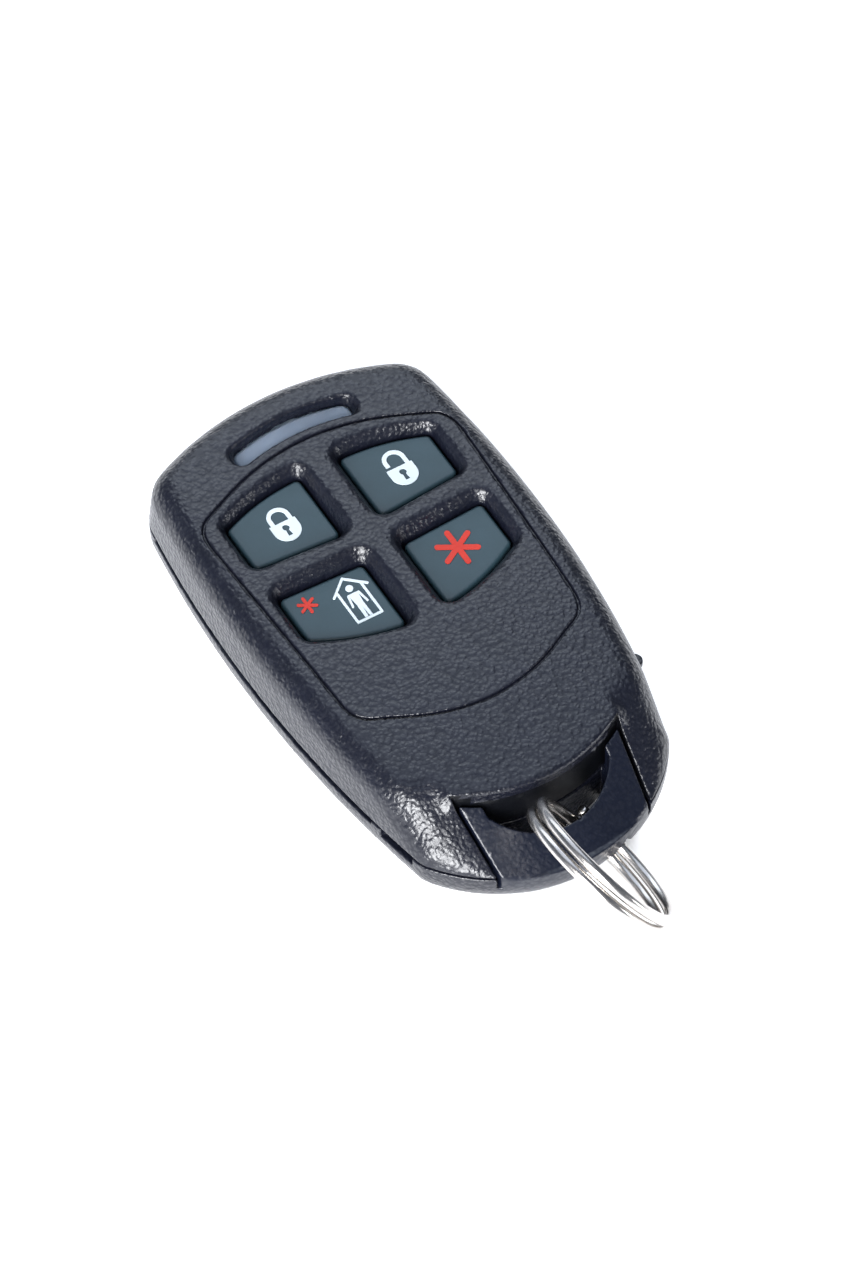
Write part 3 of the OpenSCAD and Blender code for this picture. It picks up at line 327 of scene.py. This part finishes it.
def back_field():
    side = HALF_W + NIB_MARGIN
    g = Field((-side, NOSE_Y - MARGIN, -MARGIN), (side, HALF_LEN + MARGIN, NOSE_BREAK[1]))
    x, y, z = g.x, g.y, g.z
    edge = polygon_distance(case_outline(), x, y)
    bay = bay_distance(x, y)
    body = cut(edge, -z, BACK_ROUND)
    f = cut(body, z - BACK_EDGE_Z, SEAM_EDGE_R)
    hollow = np.maximum(cut(edge + WALL, FLOOR_T - z, BACK_ROUND - WALL), WALL - bay)
    f = np.maximum(f, -hollow)
    lip = np.maximum(np.maximum(edge + LIP_OUT, -edge - LIP_IN), np.maximum(z - LIP_TOP_Z, LIP_LOW_Y - y))
    f = np.minimum(f, np.maximum(lip, LIP_LOW_Z - z))
    outer = -edge - REVEAL_IN
    reveal = np.maximum(outer, BACK_EDGE_Z - REVEAL_D - z)
    reveal = np.maximum(reveal, beyond(y, REVEAL_LOW_Y, LAMP_CORNER_C[1]))
    pry = np.maximum(outer, BACK_EDGE_Z - PRY_D - z)
    pry = np.maximum(pry, beyond(y, NOSE_CORNER_C[1], PRY_HIGH_Y))
    f = cut(f, -np.minimum(reveal, np.maximum(pry, x)), REVEAL_EDGE_R)
    nib = np.hypot(x - side_x(NIB_Y) - NIB_OUT, y - NIB_Y) - NIB_R
    f = np.minimum(f, cut(nib, np.abs(z - BACK_EDGE_Z + NIB_HALF_T) - NIB_HALF_T, NIB_EDGE_R))
    nose = g.rows(NOSE_Y - 1, BAIL_HIGH_Y)
    y, bay, body = y[:, nose], bay[:, nose], body[:, nose]
    slope = math.hypot(1, NOSE_FALL)
    top = (z - nose_height(x, y)) / slope
    bail = cut(cut(body, top, BAIL_TOP_EDGE_R), bay + BAIL_GAP, BAIL_SIDE_EDGE_R)
    n = np.minimum(f[:, nose], bail)
    eye = np.maximum(np.abs(x) - EYE_HALF_W, np.hypot(x - EYE_C[0], y - EYE_C[1]) - EYE_R)
    eye = np.maximum(eye, BROW_R - np.hypot(x - BROW_C[0], y - BROW_C[1]))
    n = cut(n, -eye, EYE_EDGE_R)
    under = np.maximum(beyond(x, UNDER_BAR_X, EYE_HALF_W), top + BAR_T / slope)
    n = cut(n, -np.maximum(under, y - UNDER_BAR_Y), EYE_EDGE_R)
    cos, sin = math.cos(RING_YAW), math.sin(RING_YAW)
    dx = (x - RING_C[0]) * cos + (y - RING_C[1]) * sin
    dy = (y - RING_C[1]) * cos - (x - RING_C[0]) * sin
    dz = z - RING_C[2]
    axial = dx * math.cos(RING_LEAN) + dz * math.sin(RING_LEAN)
    radial = np.hypot(dy, dz * math.cos(RING_LEAN) - dx * math.sin(RING_LEAN))
    channel = np.maximum(np.abs(axial) - CHANNEL_HALF_W, beyond(radial, CHANNEL_IN_R, CHANNEL_OUT_R))
    n = np.maximum(n, -np.maximum(channel, top + BAR_LEAST_T / slope))
    slit = np.maximum(beyond(bay, -BAIL_GAP, 0), np.maximum(BACK_EDGE_Z - SLIT_D - z, y - SLIT_HIGH_Y))
    f[:, nose] = cut(n, -slit, SLIT_EDGE_R)
    return g, f


def mesh_of(field, name):
    """Polygons on a distance field's zero surface."""
    g, f = field
    band = 3 * VOXEL
    grid = openvdb.FloatGrid(band)
    grid.copyFromArray(np.ascontiguousarray(np.clip(f, -band, band), np.float32))
    points, triangles, quads = grid.convertToPolygons(0.0, ADAPTIVITY)
    mesh = bpy.data.meshes.new(name)
    counts = np.concatenate([np.full(len(triangles), 3), np.full(len(quads), 4)]).astype(np.int32)
    corners = np.concatenate([triangles.ravel(), quads.ravel()]).astype(np.int32)
    mesh.vertices.add(len(points))
    mesh.vertices.foreach_set("co", ((g.low + points * VOXEL) * MM).astype(np.float32).ravel())
    mesh.loops.add(len(corners))
    mesh.loops.foreach_set("vertex_index", corners)
    mesh.polygons.add(len(counts))
    starts = np.concatenate([[0], np.cumsum(counts)[:-1]]).astype(np.int32)
    mesh.polygons.foreach_set("loop_start", starts)
    mesh.update(calc_edges=True)
    mesh.validate()
    return mesh


def lighter(obj):
    """Fewer faces where the surface is flat, at most MOST_FACES in all."""
    faces = sum(len(p.vertices) - 2 for p in obj.data.polygons)
    if faces > MOST_FACES:
        decimate = obj.modifiers.new("decimate", "DECIMATE")
        decimate.ratio = MOST_FACES / faces
        bpy.context.view_layer.update()
        seen = obj.evaluated_get(bpy.context.evaluated_depsgraph_get())
        slim = bpy.data.meshes.new_from_object(seen)
        obj.modifiers.clear()
        obj.data = slim
    return obj


def smooth_normals(obj, field):
    """Normals from the field's own slopes."""
    g, f = field
    co = np.zeros(len(obj.data.vertices) * 3, np.float32)
    obj.data.vertices.foreach_get("co", co)
    at = (co.reshape(-1, 3) / MM - g.low) / VOXEL
    limit = np.array(f.shape) - 2
    slopes = []
    for axis in range(3):
        step = np.zeros(3)
        step[axis] = SLOPE_STEP
        slopes.append(sample(f, at + step, limit) - sample(f, at - step, limit))
    normals = np.stack(slopes, 1)
    normals /= np.maximum(np.linalg.norm(normals, axis=1), 1e-9)[:, None]
    obj.data.normals_split_custom_set_from_vertices(normals.tolist())


def sample(f, at, limit):
    """The field between voxels, weighted from the eight around each place."""
    at = np.clip(at, 0, limit + 0.999)
    i = np.minimum(at.astype(int), limit)
    t = at - i
    total = 0
    for corner in range(8):
        pick = [(corner >> k) & 1 for k in range(3)]
        weight = np.prod([t[:, k] if pick[k] else 1 - t[:, k] for k in range(3)], axis=0)
        total = total + weight * f[i[:, 0] + pick[0], i[:, 1] + pick[1], i[:, 2] + pick[2]]
    return total


# Pieces
def placed(data):
    obj = bpy.data.objects.new(data.name, data)
    bpy.context.scene.collection.objects.link(obj)
    return obj


def dressed(obj, body, nodes, materials):
    obj.data.materials.clear()
    for m in materials:
        obj.data.materials.append(m)
    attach(obj, body)
    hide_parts(*nodes)
    return obj


def add_piece(mesh, body, nodes, slot, *materials):
    return dressed(placed(mesh), body, nodes, materials)


def shell(name, field, node, *materials):
    obj = lighter(placed(mesh_of(field, name)))
    obj.data.polygons.foreach_set("use_smooth", np.ones(len(obj.data.polygons), bool))
    smooth_normals(obj, field)
    return dressed(obj, "case", [node], materials)


def face_centres(obj):
    centres = np.zeros(len(obj.data.polygons) * 3, np.float32)
    obj.data.polygons.foreach_get("center", centres)
    return (centres.reshape(-1, 3) / MM).T


def lofted(name, rings):
    """A smooth closed mesh through rings of points, from the lowest ring to the highest."""
    n = len(rings[0])
    verts = [p for r in rings for p in r]
    faces = []
    for k in range(len(rings) - 1):
        for i in range(n):
            j = (i + 1) % n
            faces.append((k * n + i, k * n + j, (k + 1) * n + j, (k + 1) * n + i))
    faces.append(tuple(range(n - 1, -1, -1)))
    verts.append(tuple(np.mean(rings[-1], axis=0)))
    last = (len(rings) - 1) * n
    faces += [(last + i, last + (i + 1) % n, len(verts) - 1) for i in range(n)]
    mesh = bpy.data.meshes.new(name)
    mesh.from_pydata([tuple(np.array(v) * MM) for v in verts], [], faces)
    mesh.polygons.foreach_set("use_smooth", np.ones(len(mesh.polygons), bool))
    mesh.set_sharp_from_angle(angle=math.radians(40))
    return mesh


def round_post(outline, middle, r, z):
    """A circle with as many points as an outline, each one in line with its own point there."""
    out = outline - middle
    return level(middle + r * out / np.linalg.norm(out, axis=1)[:, None], z)


def level(points, z):
    return [(p[0], p[1], z) for p in points]


def towards(points, share):
    middle = points.mean(0)
    return middle + (points - middle) * share


def key_mesh(name, round_r=0.42):
    edge = key_outline(name)
    corners = np.array(KEYS[name][0])
    middle = corners.mean(0) * [-1 if KEYS[name][2] else 1, 1]
    rings = [round_post(edge, middle, POST_R, z) for z in (POST_LOW_Z, KEY_LOW_Z)]
    rings += [level(edge, KEY_LOW_Z), level(edge, KEY_TOP_Z - round_r)]
    for a in np.radians(np.linspace(15, 90, 6)):
        inwards, down = round_r * (1 - math.cos(a)), round_r * (1 - math.sin(a))
        rings.append(level(key_outline(name, -inwards), KEY_TOP_Z - down))
    top = key_outline(name, -round_r)
    for share in (0.97, 0.75, 0.5, 0.25):
        rings.append(level(towards(top, share), KEY_TOP_Z))
    return lofted("key_cap_" + name, rings)


def lens_mesh(round_r=0.3):
    def ring(grow, z):
        return level(rounded_outline(LENS_BAR, LAMP_SWELL, LENS_CORNER_R, grow), z)

    edge = rounded_outline(LENS_BAR, LAMP_SWELL, LENS_CORNER_R)
    rings = [round_post(edge, np.array(PIPE_C), PIPE_R, z) for z in (PIPE_LOW_Z, LENS_LOW_Z)]
    rings += [ring(LENS_FLANGE, LENS_LOW_Z), ring(LENS_FLANGE, LENS_FLANGE_Z)]
    rings += [ring(-LENS_GAP, LENS_FLANGE_Z), ring(-LENS_GAP, LENS_TOP_Z - round_r)]
    for a in np.radians(np.linspace(15, 90, 6)):
        rings.append(ring(-LENS_GAP - round_r * (1 - math.cos(a)), LENS_TOP_Z - round_r * (1 - math.sin(a))))
    top = rounded_outline(LENS_BAR, LAMP_SWELL, LENS_CORNER_R, -LENS_GAP - round_r)
    for share in (0.98, 0.8, 0.6, 0.3):
        rings.append(level(towards(top, share), LENS_TOP_Z))
    return lofted("lamp_lens", rings)


def ring_place(turn):
    u = turn - RING_TURNS / 2
    axial = RING_PITCH * (u + JOG * np.sin(2 * math.pi * u) / (2 * math.pi))
    a = math.radians(RING_END) + 2 * math.pi * turn
    return leaned(axial, RING_R * np.cos(a), RING_R * np.sin(a)) + RING_C


def leaned(a, b, c):
    cos, sin = math.cos(RING_LEAN), math.sin(RING_LEAN)
    x, z = a * cos - c * sin, a * sin + c * cos
    cos, sin = math.cos(RING_YAW), math.sin(RING_YAW)
    return np.array([x * cos - b * sin, x * sin + b * cos, z])


def ring_mesh(per_turn=120, sides=24, cap_steps=5):
    stations = [(t, 1.0, 0.0) for t in np.linspace(0, RING_TURNS, RING_TURNS * per_turn + 1)]
    caps = [(math.cos(a), math.sin(a)) for a in np.linspace(0, math.pi / 2 - 0.12, cap_steps)]
    first, last = [(0.0, c, -s) for c, s in caps[:0:-1]], [(float(RING_TURNS), c, s) for c, s in caps[1:]]
    rings = []
    for turn, share, along in first + stations + last:
        p = ring_place(turn)
        ahead = ring_place(turn + 1e-4) - ring_place(turn - 1e-4)
        ahead /= np.linalg.norm(ahead)
        a = math.radians(RING_END) + 2 * math.pi * turn
        out = leaned(0, math.cos(a), math.sin(a))
        side = np.cross(ahead, out)
        angles = 2 * math.pi * np.arange(sides) / sides
        middle = p + ahead * along * WIRE_R * CAP_LEN
        spokes = [math.cos(b) * out + math.sin(b) * side for b in angles]
        rings.append([tuple(middle + WIRE_R * share * spoke) for spoke in spokes])
    return lofted("split_ring", rings)


# Materials
class Nodes:
    """Short ways to add and join shader nodes."""

    def __init__(self, name):
        self.material = bpy.data.materials.new(name)
        self.material.use_nodes = True
        self.tree = self.material.node_tree
        self.shader = self.tree.nodes["Principled BSDF"]
        self.place = self.add("ShaderNodeTexCoord").outputs["Object"]

    def add(self, kind, inputs=None, **settings):
        node = self.tree.nodes.new(kind)
        for k, v in settings.items():
            setattr(node, k, v)
        for k, v in (inputs or {}).items():
            if isinstance(v, bpy.types.NodeSocket):
                self.tree.links.new(v, node.inputs[k])
            else:
                node.inputs[k].default_value = v
        return node

    def noise(self, size, detail=3.0, rough=0.55, place=None):
        inputs = {"Vector": place or self.place, "Scale": 1 / size, "Detail": detail, "Roughness": rough}
        return self.add("ShaderNodeTexNoise", inputs).outputs["Fac"]

    def ramp(self, fac, *stops):
        node = self.add("ShaderNodeValToRGB", {"Fac": fac})
        ramp = node.color_ramp
        while len(ramp.elements) < len(stops):
            ramp.elements.new(0.5)
        for e, (pos, colour) in zip(ramp.elements, stops):
            e.position = pos
            e.color = (*colour, 1) if len(colour) == 3 else colour
        return node.outputs["Color"]

    def math(self, op, a, b=0.0):
        return self.add("ShaderNodeMath", {0: a, 1: b}, operation=op).outputs[0]

    def vector(self, op, inputs):
        return self.add("ShaderNodeVectorMath", inputs, operation=op).outputs[0]

    def spread(self, fac, low, high):
        inputs = {"Value": fac, "To Min": low, "To Max": high}
        return self.add("ShaderNodeMapRange", inputs).outputs["Result"]

    def bump(self, height, depth, strength=1.0):
        inputs = {"Height": height, "Distance": depth, "Strength": strength}
        self.link(self.add("ShaderNodeBump", inputs).outputs["Normal"], "Normal")

    def link(self, socket, name):
        self.tree.links.new(socket, self.shader.inputs[name])

    def set(self, **values):
        for k, v in values.items():
            self.shader.inputs[k.replace("_", " ")].default_value = v


SATIN_GRAIN = 0.0003


def srgb(r, g, b):
    shares = (r / 255, g / 255, b / 255)
    return tuple(c / 12.92 if c <= 0.04045 else ((c + 0.055) / 1.055) ** 2.4 for c in shares)


def grain_material(name, dark, light, depth, cell):
    """Moulded plastic with a leather grain: small pebbles with soft creases between them."""
    n = Nodes(name)
    warp = {"Vector": n.place, "Scale": 0.7 / cell, "Detail": 2.0}
    warp = n.add("ShaderNodeTexNoise", warp).outputs["Color"]
    bent = n.vector("SUBTRACT", {0: warp, 1: (0.5, 0.5, 0.5)})
    bent = n.vector("SCALE", {0: bent, "Scale": 0.9 * cell})
    place = n.vector("ADD", {0: n.place, 1: bent})
    voronoi = {"Vector": place, "Scale": 1 / cell, "Smoothness": 0.5}
    pebbles = n.add("ShaderNodeTexVoronoi", voronoi, feature="SMOOTH_F1").outputs["Distance"]
    uneven = n.noise(1.6 * cell, 2)
    fine = n.noise(0.3 * cell, 3)
    height = n.math("SUBTRACT", n.math("MULTIPLY", uneven, 0.7), pebbles)
    height = n.math("ADD", height, n.math("MULTIPLY", fine, 0.15))
    n.link(n.ramp(n.noise(0.004, 4), (0.3, dark), (0.7, light)), "Base Color")
    n.link(n.spread(fine, 0.25, 0.37), "Roughness")
    # Less specular in the grain's valleys than on the pebbles: painted shade in the creases.
    valley_shade = {"Value": height, "From Min": -0.25, "From Max": 0.1, "To Min": 0.41, "To Max": 0.59}
    n.link(n.add("ShaderNodeMapRange", valley_shade).outputs["Result"], "Specular IOR Level")
    n.bump(height, depth)
    return n.material


def satin_material(name, dark, light, rough, depth, **more):
    n = Nodes(name)
    n.set(**more)
    n.link(n.ramp(n.noise(0.003, 4), (0.3, dark), (0.7, light)), "Base Color")
    n.link(n.spread(n.noise(SATIN_GRAIN, 3), rough - 0.06, rough + 0.06), "Roughness")
    n.bump(n.noise(SATIN_GRAIN, 3), depth)
    return n.material


def metal_material(name, dark, light, rough, scratch):
    n = Nodes(name)
    n.set(Metallic=1.0)
    n.link(n.ramp(n.noise(0.002, 4), (0.3, dark), (0.7, light)), "Base Color")
    n.link(n.spread(n.noise(0.0004, 4), rough, rough + 0.08), "Roughness")
    n.bump(n.noise(0.0006, 4), scratch)
    return n.material


CASE = grain_material("case_grain", srgb(11, 13, 22), srgb(14, 16, 26), 0.000088, 0.0005)
BAIL = grain_material("bail_grain", srgb(9, 13, 25), srgb(12, 16, 28), 0.000036, 0.0005)
# Near-black, low-sheen plastic for the walls inside the ring bay: painted shade, since the bay lies in
# shadow.
BAY_SHADE = satin_material("bay_painted_shade", srgb(5, 6, 9), srgb(7, 8, 12), 0.4, 0.000004, Specular_IOR_Level=0.2)
KEY = satin_material("key_rubber", srgb(29, 50, 57), srgb(33, 54, 62), 0.45, 0.000003)
LENS = satin_material(
    "lens_plastic", srgb(114, 125, 139), srgb(123, 135, 150), 0.42, 0.000003, Specular_IOR_Level=0.25,
    Subsurface_Weight=1.0, Subsurface_Radius=(1, 1, 1), Subsurface_Scale=0.003,
)
RUBBER = satin_material("base_rubber", srgb(40, 48, 53), srgb(46, 54, 60), 0.65, 0.000008)
CARBON = satin_material("carbon_pill", srgb(20, 20, 20), srgb(28, 28, 28), 0.7, 0.000008)
WHITE = satin_material("white_print", srgb(184, 194, 200), srgb(192, 202, 208), 0.55, 0.000002)
RED = satin_material("red_print", srgb(166, 31, 12), srgb(178, 39, 17), 0.55, 0.000002)
BOARD = satin_material("solder_mask", srgb(20, 84, 50), srgb(28, 98, 60), 0.3, 0.000004)
CHIP = satin_material("chip_plastic", srgb(24, 24, 26), srgb(32, 32, 34), 0.5, 0.000004)
LED = satin_material("led_plastic", srgb(226, 228, 220), srgb(238, 240, 232), 0.3, 0.000002)
GOLD = metal_material("gold_plating", srgb(196, 158, 78), srgb(214, 178, 98), 0.25, 0.000001)
STEEL = metal_material("cell_steel", srgb(186, 186, 184), srgb(206, 206, 204), 0.3, 0.000002)
NICKEL = metal_material("ring_nickel", srgb(182, 177, 172), srgb(198, 194, 189), 0.2, 0.000001)

# Build
front = front_field()
front_obj = shell("front_shell", front, "front_housing", CASE, BAY_SHADE)
del front
x, y, z = face_centres(front_obj)
# Faces of the bay's walls and the slits beside the bail take the near-black plastic: painted shade in the
# recess.
shaded_bay_wall = (np.abs(bay_distance(x, y)) < BAY_WALL_NEAR) & (y < BAY_TOP_Y + BAY_WALL_Y) & (z < CROWN_Z)
front_obj.data.polygons.foreach_set("material_index", shaded_bay_wall.astype(np.int32))

back = back_field()
back_obj = shell("back_shell", back, "back_housing", CASE, BAIL)
del back
x, y, _ = face_centres(back_obj)
in_bail = (bay_distance(x, y) < -BAIL_GAP / 2) & (y < BAIL_PAINT_Y)
back_obj.data.polygons.foreach_set("material_index", in_bail.astype(np.int32))

for key in KEYS:
    add_piece(key_mesh(key), key + "_key", ["key_" + key], "key_rubber", KEY)
add_piece(lens_mesh(), "case", ["led_lens"], "lens_plastic", LENS)
add_piece(ring_mesh(), "ring", ["key_ring"], "nickel", NICKEL)

NODE_MATERIALS = {
    "keypad_mat": RUBBER, "circuit_board": BOARD, "contact_pads": GOLD, "antenna_loop": GOLD,
    "encoder_chip": CHIP, "saw_resonator": STEEL, "chip_parts": CHIP, "status_led": LED,
    "coin_cell": STEEL, "battery_clip": STEEL, "cell_contact": GOLD,
    "mark_lock": WHITE, "mark_unlock": WHITE, "mark_home": WHITE, "mark_home_star": RED, "mark_star": RED,
}
for key in KEYS:
    NODE_MATERIALS["pill_" + key] = CARBON
for node, material in NODE_MATERIALS.items():
    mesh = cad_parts[node].data
    mesh.materials.clear()
    mesh.materials.append(material)


def web_piece(key):
    """The thin skirt below a key, copied from the part as a piece of its own."""
    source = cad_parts["web_" + key]
    mesh = source.data.copy()
    mesh.name = "skirt_" + key
    obj = add_piece(mesh, "case", ["web_" + key], "base_rubber", RUBBER)
    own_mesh(obj)


for key in KEYS:
    web_piece(key)

# Stage
FLOOR_REACH, FLOOR_Z = 0.9, -0.00002
FLOOR_GLOW, DARK_R, GLOW_R, DARK_Y = 0.7, 0.007, 0.0095, EYE_C[1] * MM - 0.006
mesh = bpy.data.meshes.new("floor")
corners = [(i * FLOOR_REACH, j * FLOOR_REACH, FLOOR_Z) for i, j in ((-1, -1), (1, -1), (1, 1), (-1, 1))]
mesh.from_pydata(corners, [], [(0, 1, 2, 3)])
floor = placed(mesh)
paper = Nodes("floor_paper")
shade = paper.ramp(paper.noise(0.02, 3), (0.3, (0.71, 0.71, 0.72)), (0.7, (0.73, 0.73, 0.74)))
paper.link(shade, "Base Color")
paper.set(Roughness=0.9, Emission_Color=(0.98, 0.99, 1.0, 1))
away = paper.add("ShaderNodeVectorMath", {0: paper.place, 1: (0, DARK_Y, 0)}, operation="DISTANCE")
edge = {"Value": away.outputs["Value"], "From Min": DARK_R, "From Max": GLOW_R}
glow = paper.add("ShaderNodeMapRange", edge).outputs["Result"]
paper.link(paper.math("MULTIPLY", glow, FLOOR_GLOW), "Emission Strength")
mesh.materials.append(paper.material)


def area_light(name, place, size, power, colour):
    """A rectangle of light turned to the part."""
    light = bpy.data.lights.new(name, "AREA")
    light.shape = "RECTANGLE"
    light.size, light.size_y = size
    light.energy = power
    light.color = colour
    obj = placed(light)
    obj.location = place
    obj.rotation_mode = "QUATERNION"
    obj.rotation_quaternion = (-Vector(place)).to_track_quat("-Z", "Y")


area_light("front_light", (-0.61, -0.54, 0.40), (0.5, 0.6), 26.0, (0.97, 0.98, 1.0))
area_light("left_light", (-0.34, -0.50, 0.78), (0.4, 0.4), 2.2, (0.97, 0.98, 1.0))
area_light("right_light", (0.60, -0.67, 0.12), (0.16, 0.2), 1.6, (0.97, 0.98, 1.0))
area_light("back_light", (0.26, 0.70, 0.60), (0.9, 0.5), 3.6, (0.81, 0.89, 1.0))
area_light("top_light", (0.16, 0.30, 0.90), (0.9, 0.7), 2.6, (0.74, 0.83, 1.0))

world = bpy.data.worlds.new("studio")
world.use_nodes = True
links, nodes = world.node_tree.links, world.node_tree.nodes
direction = nodes.new("ShaderNodeTexCoord")
height = nodes.new("ShaderNodeVectorMath")
height.operation = "DOT_PRODUCT"
height.inputs[1].default_value = (0.17, -0.1, 1.0)
links.new(direction.outputs["Generated"], height.inputs[0])
dome = nodes.new("ShaderNodeValToRGB")
links.new(height.outputs["Value"], dome.inputs["Fac"])
stops = dome.color_ramp.elements
stops[0].position, stops[0].color = 0.0, (0.44, 0.50, 0.60, 1)
stops[1].position, stops[1].color = 0.35, (0.15, 0.17, 0.21, 1)
links.new(dome.outputs["Color"], nodes["Background"].inputs["Color"])
nodes["Background"].inputs["Strength"].default_value = 1.0
bpy.context.scene.world = world

camera = bpy.data.cameras.new("camera")
camera.sensor_width = 36
camera.lens = 196.875
camera.clip_start, camera.clip_end = 0.01, 10
camera.dof.use_dof = False
eye = placed(camera)
right, up, back = (0.8556, -0.5176, 0.0), (0.4174, 0.6900, 0.5913), (-0.3061, -0.5059, 0.8064)
turn = Matrix((right, up, back)).transposed().to_4x4()
eye.matrix_world = Matrix.Translation((-0.2368, -0.3927, 0.6302)) @ turn
bpy.context.scene.camera = eye
bpy.context.scene.view_settings.view_transform = "Standard"
